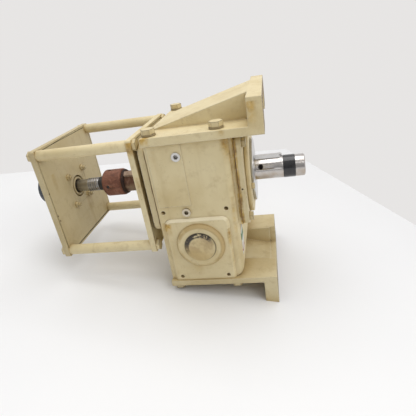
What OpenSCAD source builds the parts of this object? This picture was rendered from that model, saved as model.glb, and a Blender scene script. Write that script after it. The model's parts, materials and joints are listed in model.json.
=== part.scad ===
// Right angle bevel gearbox with through shaft, mounting brackets and coupling cage.
// Frame: X along the through shaft (+X is the output side), Z up, -Y is the plain capped front.
// The origin is the centre of the four mounting holes, in the plane of the mounting flange faces.
// The modules are drawn about the through shaft axis and lifted by axis_up into the frame.

/* [Housing] */
// length of the cast housing along the shaft
housing_len = 134; // [110:1:160]
// X of the left face of the housing
housing_x0 = -181; // [-200:1:-170]
// width of the housing across the front and back faces
housing_w = 212; // [180:1:240]
// height of the housing face above the shaft axis
housing_top = 89.8; // [80:0.1:100]
// depth of the housing base below the shaft axis
housing_bot = 150; // [140:1:170]
// thickness of the cast walls
wall = 10; // [8:0.5:14]
// radius of the rounded lower right corner
corner_r = 20; // [10:1:40]
// radius of the upright edge beside the right cover
edge_r = 10; // [3:0.5:14]
// height the right end flange stands off the body
end_step = 6; // [3:0.5:10]
// radius of the shaft bores in the two end walls
end_bore_r = 46; // [42:0.5:50]
// height the bearing pads stand off the front and back
pad_h = 5.5; // [2:0.5:8]

/* [Cross axis] */
// X of the cross shaft axis
cross_x = -118; // [-125:1:-110]
// drop of the cross shaft axis below the through shaft
cross_drop = 82; // [78:1:86]
// radius of the front cap
cap_r = 39.5; // [30:0.5:48]
// length of the cross shaft beyond its cover
cross_out = 42; // [20:1:80]

/* [Brackets] */
// width of the mounting brackets
bracket_w = 229; // [200:1:260]
// thickness of the bracket base plate
base_t = 12.7; // [8:0.1:18]
// thickness of the base plate of the bottom bracket
bottom_t = 10; // [8:0.1:18]
// thickness of the mounting flange
flange_t = 22; // [15:0.5:30]
// height of the mounting flange with its base plate
flange_h = 52; // [40:0.5:70]
// width of the hollow gusset
gusset_w = 128; // [90:1:150]
// width of the trough inside the gusset
trough_w = 108; // [70:1:120]
// radius of the flange mounting holes
mount_hole_r = 7; // [4:0.25:10]
// spacing of the flange mounting holes across the width
mount_y = 182; // [160:1:200]

/* [Shaft] */
// radius of the through shaft at both ends
shaft_r = 19.05; // [15:0.05:25]
// radius of the through shaft in its bearings
seat_r = 20; // [18:0.5:25]
// X of the output end of the through shaft
shaft_end = 60; // [40:1:100]
// X of the coupled end of the through shaft
shaft_start = -284; // [-300:1:-280]

/* [Cage] */
// side of the two square cage plates
plate_w = 198; // [150:1:240]
// thickness of the cage plates
plate_t = 9.5; // [6:0.5:14]
// X of the outer face of the inner plate
inner_x = -209.5; // [-220:0.5:-205]
// X of the inner face of the outer plate
outer_x = -363.8; // [-400:0.1:-330]
// distance of the tie rods from the shaft axis in Y and Z
rod_off = 89; // [60:0.5:110]
// radius of the tie rods
rod_r = 9; // [6:0.5:12]
// radius of the stub shaft
stub_r = 11.1; // [9:0.1:16]
// radius of the brown coupling hub
hub_r = 24.7; // [20:0.1:32]

/* [Gears] */
// module of the spur pair
spur_m = 4; // [2:0.5:5]
// teeth of the gear on the through shaft
spur_n1 = 20; // [14:1:24]
// teeth of the gear on the intermediate shaft
spur_n2 = 21; // [14:1:24]
// face width of the spur gears
spur_w = 12; // [8:1:16]
// module of the bevel pair at the large end
bevel_m = 2.5; // [2:0.5:3]
// teeth of the bevel pinion
bevel_n1 = 16; // [12:1:20]
// teeth of the bevel gear
bevel_n2 = 24; // [20:1:28]
// face width of the bevel teeth along the cone
bevel_w = 12; // [8:1:14]

/* [Hidden] */
$fn = 96;
eps = 0.02;

housing_x1 = housing_x0 + housing_len;
front_y = -housing_w / 2;
back_y = housing_w / 2;
cav_x0 = housing_x0 + wall;
body_x1 = housing_x1 - end_step;        // right face of the body below the end flange
cav_x1 = body_x1 - wall;
axis_up = (housing_bot - housing_top) / 2;
hole_up = 37.2;
cz = -cross_drop;
gasket_t = 1;
cover_top = 88;
cover_bot = -60;
cover_hw = 100;
screw_y = 84;
lc_in = housing_x0 - gasket_t;          // left cover inner face
lc_out = lc_in - 11;                    // left cover outer face
rc_in = housing_x1 + gasket_t;          // right cover inner face
rc_mid = rc_in + 10;                    // right cover outer face
rc_out = -29;                           // outer face of the second plate
cap_out = -24.5;                        // outer face of the seal cap
main_or = 40;
main_w = 18;
mid_r = 10;
mid_or = 21;
mid_w = 12;
cross_r = 15;
cross_end_r = 14;
end_r = shaft_r - 0.25;
cross_or = 31;
cross_w = 16;
carrier_r = 47.8;
lb_x = lc_in - 7;                       // left main bearing, left face
rb_x = rc_mid - main_w;                 // right main bearing, left face
gear_x = -165;
cap_in = 31.8;
inner_face = inner_x + plate_t;
key_turn = 34;                          // input key, turned from the top towards the front
bb_off = 27.5;                            // flange bearing bolt offset
bolt_x1 = -170;
bolt_x2 = -68;
bolt_y = 97;
cream = [0.86, 0.80, 0.64];
steel = [0.72, 0.72, 0.74];
dark = [0.25, 0.25, 0.27];
bronze = [0.62, 0.48, 0.26];

// ---------- shared shapes ----------
module lift() { translate([0, 0, axis_up]) children(); }
module xcyl(r, x0, x1) { translate([x0, 0, 0]) rotate([0, 90, 0]) cylinder(r = r, h = x1 - x0); }
module ycyl(r, y0, y1) { translate([0, y0, 0]) rotate([-90, 0, 0]) cylinder(r = r, h = y1 - y0); }
module xring(ro, ri, x0, x1) {
    difference() { xcyl(ro, x0, x1); xcyl(ri, x0 - 1, x1 + 1); }
}
module yring(ro, ri, y0, y1) {
    difference() { ycyl(ro, y0, y1); ycyl(ri, y0 - 1, y1 + 1); }
}
module box(x0, x1, y0, y1, z0, z1) {
    translate([x0, y0, z0]) cube([x1 - x0, y1 - y0, z1 - z0]);
}
// plate seen along X with rounded corners: Y half width hw, Z from z0 to z1
module xslab(x0, x1, hw, z0, z1, r) {
    translate([x0, 0, 0]) rotate([90, 0, 90]) linear_extrude(height = x1 - x0) rrect(hw, z0, z1, r);
}
module rrect(hw, z0, z1, r) {
    union() {
        translate([-hw + r, z0]) square([2 * hw - 2 * r, z1 - z0]);
        translate([-hw, z0 + r]) square([2 * hw, z1 - z0 - 2 * r]);
        for (sy = [-hw + r, hw - r], sz = [z0 + r, z1 - r]) translate([sy, sz]) circle(r = r);
    }
}
module bolt_z(af, hh, r, l) {           // head up, shank down, seated at z = 0
    cylinder(r = af / sqrt(3), h = hh, $fn = 6);
    translate([0, 0, -l]) cylinder(r = r, h = l + 0.5, $fn = 48);
}
module cap_screw_z(r, l) {              // socket head cap screw seated at z = 0
    difference() {
        cylinder(r = 1.6 * r, h = 2 * r - 0.6, $fn = 48);
        translate([0, 0, r]) cylinder(r = 0.95 * r, h = 3 * r, $fn = 6);
    }
    translate([0, 0, -l]) cylinder(r = r, h = l + 0.5, $fn = 48);
}
// involute tooth outline of a spur gear, teeth thinned by bl for backlash
function inv(a) = tan(a) * 180 / PI - a;
module gear2d(m, n, bl, bore) {
    rp = m * n / 2;
    rb = rp * cos(20);
    ra = rp + m;
    rf = rp - 1.25 * m;
    half = 90 / n - (bl / 2) / rp * 180 / PI;
    rs = max(rb, rf + 0.05);
    steps = 5;
    function ang(r) = half + inv(20) - inv(acos(min(1, rb / r)));
    function rad(i) = rs + (ra - rs) * i / steps;
    pts = [for (t = [0:n - 1]) let (c = t * 360 / n) each concat(
        [[rf * cos(c - ang(rs) - 0.4), rf * sin(c - ang(rs) - 0.4)]],
        [for (i = [0:steps]) [rad(i) * cos(c - ang(rad(i))), rad(i) * sin(c - ang(rad(i)))]],
        [for (i = [steps:-1:0]) [rad(i) * cos(c + ang(rad(i))), rad(i) * sin(c + ang(rad(i)))]],
        [[rf * cos(c + ang(rs) + 0.4), rf * sin(c + ang(rs) + 0.4)]])];
    difference() {
        polygon(pts);
        circle(r = bore);
    }
}
// straight bevel teeth with the apex at the origin and the large end at z = h
module bevel_teeth(m, n, h, frac, bl) {
    rp = m * n / 2;
    ra = rp + 0.8 * m * cos(atan(rp / h));
    rf = rp - 1.05 * m;
    half = 90 / n - (bl / 2) / rp * 180 / PI;
    tip = half * 0.42;
    root = half * 1.45;
    pts = [for (t = [0:n - 1]) let (c = t * 360 / n) each [
        [rf * cos(c - root), rf * sin(c - root)], [rp * cos(c - half), rp * sin(c - half)],
        [ra * cos(c - tip), ra * sin(c - tip)], [ra * cos(c + tip), ra * sin(c + tip)],
        [rp * cos(c + half), rp * sin(c + half)], [rf * cos(c + root), rf * sin(c + root)]]];
    translate([0, 0, h * frac]) linear_extrude(height = h * (1 - frac), scale = 1 / frac)
        scale([frac, frac]) polygon(pts);
}
module race(ri, ro, gap, ball, w) {     // ring between ri and ro along z with a ball groove
    difference() {
        cylinder(r = ro, h = w);
        translate([0, 0, -1]) cylinder(r = ri, h = w + 2);
        translate([0, 0, w / 2]) rotate_extrude() translate([gap, 0]) circle(r = ball, $fn = 40);
    }
}

// ---------- housing ----------
module housing_outline() {
    x0 = housing_x0;
    x1 = body_x1;
    union() {
        translate([x0, -housing_bot]) square([x1 - x0 - corner_r, housing_bot + housing_top]);
        translate([x0, -housing_bot + corner_r])
            square([x1 - x0, housing_bot + housing_top - corner_r]);
        translate([x1 - corner_r, -housing_bot + corner_r]) circle(r = corner_r);
    }
}
module housing_plan() {                 // seen from above, upright edges rounded
    x0 = housing_x0;
    x1 = body_x1;
    r = edge_r;
    union() {
        translate([x0, front_y + 4]) square([x1 - x0 - r, housing_w - 8]);
        translate([x0 + 4, front_y]) square([x1 - x0 - 4 - r, housing_w]);
        translate([x0 + 4, front_y + r]) square([x1 - x0 - 4, housing_w - 2 * r]);
        translate([x0 + 4, front_y + 4]) circle(r = 4);
        translate([x0 + 4, back_y - 4]) circle(r = 4);
        translate([x1 - r, front_y + r]) circle(r = r);
        translate([x1 - r, back_y - r]) circle(r = r);
    }
}
// bearing pad standing on the plane y = 0 towards -y, its top and side edges bevelled by c
module pad(c) {
    x0 = -173;
    x1 = -67;
    top = -34;
    translate([x0 + 12, 0, 0]) rotate([90, 0, 90]) linear_extrude(height = x1 - x0 - 24)
        polygon([[1, -housing_bot], [1, top], [0, top], [-pad_h + c, top], [-pad_h, top - c],
            [-pad_h, -housing_bot]]);
    translate([0, 0, -housing_bot]) linear_extrude(height = housing_bot + top - 12)
        polygon([[x0, 1], [x0, -pad_h + c], [x0 + c, -pad_h], [x1 - c, -pad_h], [x1, -pad_h + c], [x1, 1]]);
    for (sx = [x0 + 12, x1 - 12]) translate([sx, 1, top - 12]) rotate([90, 0, 0]) {
        cylinder(r = 12, h = 1 + pad_h - c);
        translate([0, 0, 1 + pad_h - c]) cylinder(r1 = 12, r2 = 12 - c, h = c);
    }
}
module yext(y0, y1) {
    translate([0, y1, 0]) rotate([90, 0, 0]) linear_extrude(height = y1 - y0) children();
}
module front_taps() {
    for (p = [[-171, -22], [-69, -22], [-160, -143], [-80, -143]])
        translate([p[0], 0, p[1]]) children();
}
module housing() lift() color(cream) {
    difference() {
        union() {
            intersection() {
                yext(front_y, back_y) housing_outline();
                translate([0, 0, -housing_bot - 1])
                    linear_extrude(height = housing_bot + housing_top + 2) housing_plan();
            }
            translate([0, front_y, 0]) pad(4);
            translate([0, back_y, 0]) mirror([0, 1, 0]) pad(4);
            xslab(body_x1 - 6, housing_x1, 97, cover_bot - 1, housing_top, 12);
            box(housing_x0 + 5, -123, front_y - 1.2, front_y + 1, -12, housing_top - 1);
        }
        difference() {
            box(cav_x0, cav_x1, front_y + wall, back_y - wall, -housing_bot + wall, housing_top - wall);
            for (sy = [-1, 1], x = [bolt_x1, bolt_x2])
                box(x - 13, x + 13, sy * 92 - 9, sy * 92 + 9, housing_top - 30, housing_top);
        }
        xcyl(end_bore_r, housing_x0 - 1, housing_x1 + 1);
        translate([cross_x, 0, cz]) ycyl(cap_in + 0.2, front_y - 20, 0);
        translate([cross_x, 0, cz]) ycyl(carrier_r + 0.2, 0, back_y + 20);
        for (sy = [-1, 1], x = [bolt_x1, bolt_x2])
            for (z = [housing_top - 24, -housing_bot - 1])
                translate([x, sy * bolt_y, z]) cylinder(r = 6, h = 25, $fn = 48);
        translate([0, 0, cz]) xcyl(mid_or, cav_x0 - 6, cav_x1 + 6);
        for (z = [68.7, -23.2]) translate([-132.5, 0, z]) ycyl(7, front_y - 6, front_y + wall + 1);
        front_taps() ycyl(3.5, front_y - 6, front_y + 9);
        cover_screw_holes(4, housing_x0 - 1, housing_x0 + 9);
        right_bolt_at() xcyl(4, housing_x1 - 9, housing_x1 + 1);
        for (a = [45:90:315]) translate([cross_x, 0, cz]) rotate([0, a, 0])
            translate([57, 0, 0]) ycyl(3.5, back_y - 8, back_y + 20);
    }
    difference() {
        translate([0, 0, cz]) union() {
            xcyl(25.5, cav_x0 - 1, cav_x0 + 4);
            xcyl(25.5, cav_x1 - 4, cav_x1 + 1);
        }
        translate([0, 0, cz]) xcyl(mid_or, cav_x0 - 2, cav_x1 + 2);
        xcyl(end_bore_r, housing_x0 - 1, housing_x1 + 1);
    }
}

// ---------- left cover group ----------
module cover_screw_holes(r, x0, x1) {
    for (z = [cover_top - 12, cover_bot + 12], sy = [-1, 1])
        translate([0, sy * screw_y, z]) xcyl(r, x0, x1);
}
module left_cover_gasket() lift() color(dark) difference() {
    xslab(lc_in, housing_x0, cover_hw, cover_bot, cover_top, 18);
    xcyl(end_bore_r, lc_in - 1, housing_x0 + 1);
    cover_screw_holes(4.2, lc_in - 1, housing_x0 + 1);
}
module left_cover() lift() color(cream) difference() {
    union() {
        xslab(lc_out, lc_in, cover_hw, cover_bot, cover_top, 18);
        xcyl(end_bore_r - 0.1, lc_in - 1, -170);
        xcyl(56, inner_face, lc_out + 1);
    }
    xcyl(main_or, lb_x, 0);
    xcyl(30, inner_face - 1, 0);
    cover_screw_holes(4.2, lc_out - 1, lc_in + 1);
    cover_screw_holes(7, lc_out - 1, lc_out + 7);
    for (a = [45:90:315]) rotate([a, 0, 0]) translate([0, 0, 46]) xcyl(3.5, inner_face - 1, inner_face + 9);
}
module left_cover_screws() lift() color(steel)
    for (z = [cover_top - 12, cover_bot + 12], sy = [-1, 1])
        translate([lc_out + 7, sy * screw_y, z]) rotate([0, -90, 0]) cap_screw_z(4, 13);
module input_seal() lift() color(dark) xring(30, shaft_r + 0.1, inner_face + 1, inner_face + 9);

// ---------- right cover group ----------
module right_bolt_at() {
    for (z = [74, -48], sy = [-1, 1]) translate([0, sy * 85, z]) children();
}
module plate_screw_at() {
    for (sy = [-1, 1]) translate([0, sy * 68, -3.5]) children();
}
module right_cover_gasket() lift() color(dark) difference() {
    xslab(housing_x1, rc_in, cover_hw, cover_bot, cover_top, 18);
    xcyl(end_bore_r, housing_x1 - 1, rc_in + 1);
    right_bolt_at() xcyl(4.2, housing_x1 - 1, rc_in + 1);
}
module right_cover() lift() color(cream) difference() {
    union() {
        xslab(rc_in, rc_mid, cover_hw, cover_bot, cover_top, 18);
        xcyl(end_bore_r - 0.1, housing_x1 - 11, rc_in + 1);
    }
    xcyl(main_or, housing_x1 - 20, rc_mid + 1);
    right_bolt_at() xcyl(4.2, rc_in - 1, rc_mid + 1);
    plate_screw_at() xcyl(3, rc_mid - 6, rc_mid + 1);
    translate([-41, 0, 5]) ycyl(1.5, -cover_hw - 1, -cover_hw + 8);
}
module right_cover_plate() lift() color(cream) difference() {
    xslab(rc_mid, rc_out, 78, cover_bot + 2, 66, 40);
    xcyl(34, rc_mid - 1, rc_out + 1);
    plate_screw_at() xcyl(3.2, rc_mid - 1, rc_out + 1);
}
module right_cover_bolts() lift() color(steel)
    right_bolt_at() translate([rc_mid, 0, 0]) rotate([0, 90, 0]) bolt_z(13, 6.5, 4, 18);
module cover_plate_screws() lift() color(steel)
    plate_screw_at() translate([rc_out, 0, 0]) rotate([0, 90, 0]) cap_screw_z(3, 12);
module output_seal_cap() lift() color(steel) difference() {
    union() {
        xcyl(54, rc_out, cap_out);
        xcyl(33.9, rc_mid + 0.5, rc_out + 1);
    }
    xcyl(27, rc_mid - 1, rc_out + 0.8);
    xcyl(shaft_r + 0.6, rc_out, cap_out + 1);
}
module output_seal() lift() color(dark) xring(27, shaft_r + 0.1, rc_mid + 0.7, rc_out + 0.7);

// ---------- brackets ----------
// bracket standing on z = 0 with the mounting face at x = 0 and its flange pointing up
module bracket(bt) {
    difference() {
        union() {
            box(housing_x0, 0, -bracket_w / 2, bracket_w / 2, 0, bt);
            box(-flange_t, 0, -bracket_w / 2, bracket_w / 2, 0, flange_h);
            translate([0, gusset_w / 2, 0]) rotate([90, 0, 0]) linear_extrude(height = gusset_w)
                polygon([[-175, bt - 1], [-flange_t + 1, bt - 1], [-flange_t + 1, flange_h],
                    [-flange_t, flange_h], [-175, bt + 0.5]]);
        }
        translate([0, trough_w / 2, 0]) rotate([90, 0, 0]) linear_extrude(height = trough_w)
            polygon([[-120, -1], [1, -1], [1, 33], [-flange_t, 33], [-120, 8]]);
        box(-11, 1, -trough_w / 2 - 4, trough_w / 2 + 4, -1, 35);
        for (sy = [-1, 1]) {
            translate([0, sy * mount_y / 2, hole_up]) xcyl(mount_hole_r, -flange_t - 1, 1);
            for (x = [bolt_x1, bolt_x2])
                translate([x, sy * bolt_y, -1]) cylinder(r = 6.6, h = bt + 2, $fn = 48);
        }
    }
}
module top_bracket() lift() color(cream) translate([0, 0, housing_top]) bracket(base_t);
module bottom_bracket() lift() color(cream)
    translate([0, 0, -housing_bot]) mirror([0, 0, 1]) bracket(bottom_t);
module at_bracket_bolts() {
    for (x = [bolt_x1, bolt_x2], sy = [-1, 1]) {
        translate([x, sy * bolt_y, housing_top + base_t]) children();
        translate([x, sy * bolt_y, -housing_bot - bottom_t]) rotate([180, 0, 0]) children();
    }
}
module bracket_washers() lift() color(steel) at_bracket_bolts() difference() {
    cylinder(r = 11, h = 2.5, $fn = 64);
    translate([0, 0, -1]) cylinder(r = 6.6, h = 5, $fn = 48);
}
module bracket_bolts() lift() color(steel) at_bracket_bolts() translate([0, 0, 2.5]) bolt_z(19, 8, 6, 36);

// ---------- cross axis ----------
module front_cap() lift() color(cream) translate([cross_x, 0, cz]) difference() {
    union() {
        ycyl(cap_r, front_y - pad_h - 2, front_y - pad_h);
        translate([0, front_y - pad_h - 2, 0]) rotate([90, 0, 0])
            cylinder(r1 = cap_r, r2 = cap_r - 4, h = 4);
        ycyl(24.5, front_y - pad_h - 8.5, front_y - pad_h - 5);
        ycyl(cap_in, front_y - pad_h - 1, front_y + 12);
    }
    ycyl(cap_in - 6, front_y - 2, front_y + 13);
}
module cross_carrier() lift() color(cream) translate([cross_x, 0, cz]) difference() {
    union() {
        ycyl(carrier_r + 17, back_y + pad_h, back_y + pad_h + 8);
        ycyl(carrier_r, back_y - 16, back_y + pad_h + 1);
        ycyl(38, 54, back_y);
    }
    ycyl(27, 50, back_y + 30);
    ycyl(cross_or, 56, 56 + cross_w);
    ycyl(cross_or, 50, 56 + 1);
    ycyl(cross_or, 86, 118.1);
    for (a = [45:90:315]) rotate([0, a, 0]) translate([57, 0, 0]) ycyl(4, back_y, back_y + 20);
}
module cross_carrier_bolts() lift() color(steel) translate([cross_x, 0, cz])
    for (a = [45:90:315]) rotate([0, a, 0]) translate([57, back_y + pad_h + 8, 0]) rotate([-90, 0, 0])
        bolt_z(12, 5, 3.5, 19);
module cross_seal() lift() color(dark) translate([cross_x, 0, cz]) yring(cross_or, cross_r + 0.1, 110, 117);

// ---------- small front parts ----------
module plug() difference() {
    ycyl(7, front_y - 3, front_y + 9);
    translate([0, front_y - 4, 0]) rotate([-90, 0, 0]) cylinder(r = 3.8, h = 7, $fn = 6);
}
module fill_plug() lift() color(steel) translate([-132.5, 0, 68.7]) plug();
module level_plug() lift() color(steel) translate([-132.5, 0, -23.2]) plug();
module nameplate() lift() color([0.9, 0.9, 0.88]) box(body_x1, body_x1 + 0.8, -92, -66, -116, -70);

// ---------- cage ----------
module plate_rod_holes(x0, x1) {
    for (sy = [-1, 1], sz = [-1, 1]) translate([0, sy * rod_off, sz * rod_off]) xcyl(6.2, x0, x1);
}
module inner_plate() lift() color(cream) difference() {
    xslab(inner_x, inner_face, plate_w / 2, -plate_w / 2, plate_w / 2, 4);
    xcyl(27, inner_x - 1, inner_face + 1);
    plate_rod_holes(inner_x - 1, inner_face + 1);
    for (a = [45:90:315]) rotate([a, 0, 0]) translate([0, 0, 46]) {
        xcyl(3.7, inner_x - 1, inner_face + 1);
        xcyl(6, inner_x - 1, inner_x + 6);
    }
}
module inner_plate_screws() lift() color(steel) for (a = [45:90:315]) rotate([a, 0, 0])
    translate([inner_x + 6, 0, 46]) rotate([0, -90, 0]) cap_screw_z(3.5, 11);
module outer_plate() lift() color(cream) difference() {
    xslab(outer_x - plate_t, outer_x, plate_w / 2, -plate_w / 2, plate_w / 2, 4);
    xcyl(20.5, outer_x - plate_t - 1, outer_x + 1);
    plate_rod_holes(outer_x - plate_t - 1, outer_x + 1);
    for (sy = [-1, 1], sz = [-1, 1]) translate([0, sy * bb_off, sz * bb_off])
        xcyl(3.3, outer_x - plate_t - 1, outer_x + 1);
}
module tie_rod(sy, sz) lift() color(cream) translate([0, sy * rod_off, sz * rod_off]) difference() {
    xcyl(rod_r, outer_x, inner_x);
    xcyl(6, outer_x - 1, outer_x + 20);
    xcyl(6, inner_x - 20, inner_x + 1);
}
module tie_rod_top_front() tie_rod(-1, 1);
module tie_rod_top_back() tie_rod(1, 1);
module tie_rod_bottom_front() tie_rod(-1, -1);
module tie_rod_bottom_back() tie_rod(1, -1);
module tie_rod_bolts() lift() color(cream)
    for (sy = [-1, 1], sz = [-1, 1]) translate([0, sy * rod_off, sz * rod_off]) {
        translate([inner_face, 0, 0]) rotate([0, 90, 0]) bolt_z(17, 6, 6, 26);
        translate([outer_x - plate_t, 0, 0]) rotate([0, -90, 0]) bolt_z(16, 5.5, 6, 26);
    }
fb_x = outer_x - plate_t;
module flange_bearing_housing() lift() color(dark) difference() {
    union() {
        xslab(fb_x - 12, fb_x, 43, -43, 43, 12);
        xcyl(31, fb_x - 28, fb_x - 11);
        xcyl(17.8, fb_x - 2, outer_x + 0.3);
    }
    xcyl(26, fb_x - 29, fb_x - 7);
    xcyl(13.5, fb_x - 8, outer_x + 1);
    for (sy = [-1, 1], sz = [-1, 1]) translate([0, sy * bb_off, sz * bb_off])
        xcyl(3.3, fb_x - 13, fb_x + 1);
}
module flange_bearing_bolts() lift() color(steel) for (sy = [-1, 1], sz = [-1, 1])
    translate([fb_x - 12, sy * bb_off, sz * bb_off]) rotate([0, -90, 0]) bolt_z(10, 4.5, 3, 30.5);
module flange_bearing_nuts() lift() color(steel) for (sy = [-1, 1], sz = [-1, 1])
    translate([outer_x, sy * bb_off, sz * bb_off]) rotate([0, 90, 0]) difference() {
        cylinder(r = 10 / sqrt(3), h = 5, $fn = 6);
        translate([0, 0, -1]) cylinder(r = 3, h = 9, $fn = 48);
    }
module flange_bearing_outer_ring() lift() color(steel) translate([fb_x - 22, 0, 0]) rotate([0, 90, 0])
    race(20.4, 26, 18.6, 3.6, 15);

// ---------- static bearing rings ----------
module main_bearing_outer_rings() lift() color(steel) for (x = [lb_x, rb_x]) translate([x, 0, 0])
    rotate([0, 90, 0]) race(33.5, main_or, 30, 5.2, main_w);
module mid_bearing_outer_rings() lift() color(steel) for (x = [cav_x0 - 6, cav_x1 - 6]) translate([x, 0, cz])
    rotate([0, 90, 0]) race(17.6, mid_or, 15.5, 3.2, mid_w);
module cross_bearing_outer_rings() lift() color(steel) for (y = [56, 86]) translate([cross_x, y, cz])
    rotate([-90, 0, 0]) race(25.6, cross_or, 23, 4.2, cross_w);

// ---------- through shaft body ----------
module through_shaft() lift() color(steel) difference() {
    union() {
        xcyl(shaft_r, shaft_start, 24);
        xcyl(end_r, 23, shaft_end - 1.5);
        translate([shaft_end - 1.5, 0, 0]) rotate([0, 90, 0])
            cylinder(r1 = end_r, r2 = end_r - 1.5, h = 1.5);
        xcyl(seat_r, lb_x - 0.5, rb_x + main_w + 0.5);
        xcyl(24, lb_x + main_w, gear_x);
        xcyl(24, gear_x + spur_w, rb_x);
    }
    box(gear_x, gear_x + spur_w, -3, 3, seat_r - 3, seat_r + 9);
    box(-23.5, 17.9, -4.75, 4.75, shaft_r - 4.8, shaft_r + 9);
    translate([17.9, 0, shaft_r - 4.8]) cylinder(r = 4.75, h = 12);
    rotate([key_turn, 0, 0]) box(-262, -212, -4.75, 4.75, shaft_r - 4.8, shaft_r + 9);
    rotate([-27, 0, 0]) translate([-14, -shaft_r - 1, 0]) rotate([-90, 0, 0])
        cylinder(r = 3.6, h = 9, $fn = 40);
}
module upper_spur_gear() lift() color(bronze) translate([gear_x, 0, 0]) rotate([0, 90, 0]) difference() {
    linear_extrude(height = spur_w) gear2d(spur_m, spur_n1, 0.35, seat_r);
    translate([-seat_r - 3.2, -3, -1]) cube([8, 6, spur_w + 2]);
}
module upper_gear_key() lift() color(steel) box(gear_x, gear_x + spur_w, -3, 3, seat_r - 3, seat_r + 3.2);
module output_key() lift() color(steel) {
    box(-23.5, 17.9, -4.75, 4.75, shaft_r - 4.8, shaft_r + 4.8);
    translate([17.9, 0, shaft_r - 4.8]) cylinder(r = 4.75, h = 9.6);
}
module input_key() lift() color(steel) rotate([key_turn, 0, 0])
    box(-262, -212, -4.75, 4.75, shaft_r - 4.8, shaft_r + 4.8);
module coupling_shaft_hub() lift() color(dark) difference() {
    union() {
        xcyl(22.7, -268, -265);
        translate([-265, 0, 0]) rotate([0, 90, 0]) cylinder(r1 = 22.7, r2 = 20.7, h = 3);
    }
    xcyl(shaft_r, -269, -261);
}
module coupling_stub_hub() lift() color([0.45, 0.27, 0.2]) difference() {
    union() {
        translate([-306, 0, 0]) rotate([0, 90, 0]) cylinder(r1 = 21, r2 = hub_r, h = 4);
        xcyl(hub_r, -302, -269.5);
        translate([-269.5, 0, 0]) rotate([0, 90, 0]) cylinder(r1 = hub_r, r2 = hub_r - 1.5, h = 1.5);
    }
    xcyl(stub_r, -307, -284);
    xcyl(shaft_r, -285, -267);
    for (a = [0, 90]) rotate([a, 0, 0]) translate([-294, 0, 10]) cylinder(r = 3, h = 20, $fn = 40);
}
module coupling_set_screws() lift() color(dark) for (a = [0, 90]) rotate([a, 0, 0])
    translate([-294, 0, stub_r + 0.05]) difference() {
        cylinder(r = 3, h = 11, $fn = 40);
        translate([0, 0, 7]) cylinder(r = 1.6, h = 6, $fn = 6);
    }
module stub_collar() lift() color(dark) xring(12.8, stub_r, -318, -306);
module stub_shaft() lift() color(steel) union() {
    xcyl(stub_r, -436, -286);
    for (x = [-341:4.4:-323]) xcyl(stub_r + 1.5, x, x + 2.3);
}
module input_hub() lift() color(dark) difference() {
    union() {
        xcyl(20, -412, -404);
        xcyl(27, -434, -411);
    }
    xcyl(stub_r, -436, -400);
}
module flange_bearing_inner_ring() lift() color(steel) translate([fb_x - 28, 0, 0]) rotate([0, 90, 0])
    difference() {
        cylinder(r = 16.8, h = 20);
        translate([0, 0, -1]) cylinder(r = stub_r, h = 28);
    }
module main_bearing_inner_rings() lift() color(steel) for (x = [lb_x, rb_x]) translate([x, 0, 0])
    rotate([0, 90, 0]) race(seat_r, 26.5, 30, 5.2, main_w);
module main_bearing_balls() lift() color(steel) for (x = [lb_x, rb_x]) translate([x + main_w / 2, 0, 0])
    for (a = [0:36:324]) rotate([a, 0, 0]) translate([0, 0, 30]) sphere(r = 5.1, $fn = 32);

// ---------- intermediate shaft body ----------
module intermediate_shaft() lift() color(steel) translate([0, 0, cz]) union() {
    xcyl(mid_r, cav_x0 - 5.8, cav_x1 + 5.8);
    xcyl(12.5, gear_x + spur_w, gear_x + spur_w + 4);
}
module lower_spur_gear() lift() color(bronze) translate([gear_x, 0, cz]) rotate([0, 90, 0])
    rotate([0, 0, spur_phase]) linear_extrude(height = spur_w) gear2d(spur_m, spur_n2, 0.35, mid_r);
module bevel_pinion() lift() color(bronze) translate([cross_x, 0, cz]) rotate([0, 90, 0]) difference() {
    union() {
        bevel_teeth(bevel_m, bevel_n1, bevel_m * bevel_n2 / 2, bevel_frac, 0.25);
        translate([0, 0, bevel_m * bevel_n2 / 2 - 0.5]) cylinder(r = 16, h = 18);
    }
    translate([0, 0, 1]) cylinder(r = mid_r, h = 80);
}
module mid_bearing_inner_rings() lift() color(steel)
    for (x = [cav_x0 - 5.8, cav_x1 - 6]) translate([x, 0, cz])
    rotate([0, 90, 0]) union() {
        race(mid_r, 13.4, 15.5, 3.2, mid_w - 0.2);
        for (a = [0:45:315]) rotate([0, 0, a]) translate([15.5, 0, mid_w / 2]) sphere(r = 3, $fn = 24);
    }

// ---------- cross shaft body ----------
module cross_shaft() lift() color(steel) translate([cross_x, 0, cz]) difference() {
    union() {
        ycyl(cross_r, 13, back_y + pad_h + 9);
        ycyl(cross_end_r, back_y + pad_h + 8, back_y + pad_h + 8 + cross_out);
        ycyl(18, 48, 56);
    }
    translate([-3, back_y + pad_h + 14, cross_end_r - 3.5]) cube([6, 30, 8]);
}
module bevel_gear() lift() color(bronze) translate([cross_x, 0, cz]) rotate([-90, 0, 0]) difference() {
    union() {
        rotate([0, 0, bevel_phase])
            bevel_teeth(bevel_m, bevel_n2, bevel_m * bevel_n1 / 2, bevel_frac, 0.25);
        translate([0, 0, bevel_m * bevel_n1 / 2 - 0.5]) cylinder(r = 26.5, h = 6);
        translate([0, 0, bevel_m * bevel_n1 / 2 + 5]) cylinder(r = 22, h = 23);
    }
    translate([0, 0, 1]) cylinder(r = cross_r, h = 80);
}
module cross_shaft_key() lift() color(steel) translate([cross_x, 0, cz])
    translate([-3, back_y + pad_h + 14, cross_end_r - 3.5]) cube([6, 30, 3]);
module cross_bearing_inner_rings() lift() color(steel) for (y = [56, 86]) translate([cross_x, y, cz])
    rotate([-90, 0, 0]) union() {
        race(cross_r, 20.4, 23, 4.2, cross_w);
        for (a = [0:36:324]) rotate([0, 0, a]) translate([23, 0, cross_w / 2]) sphere(r = 4, $fn = 24);
    }
spur_phase = 0;
bevel_phase = 180 / bevel_n2;
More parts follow.
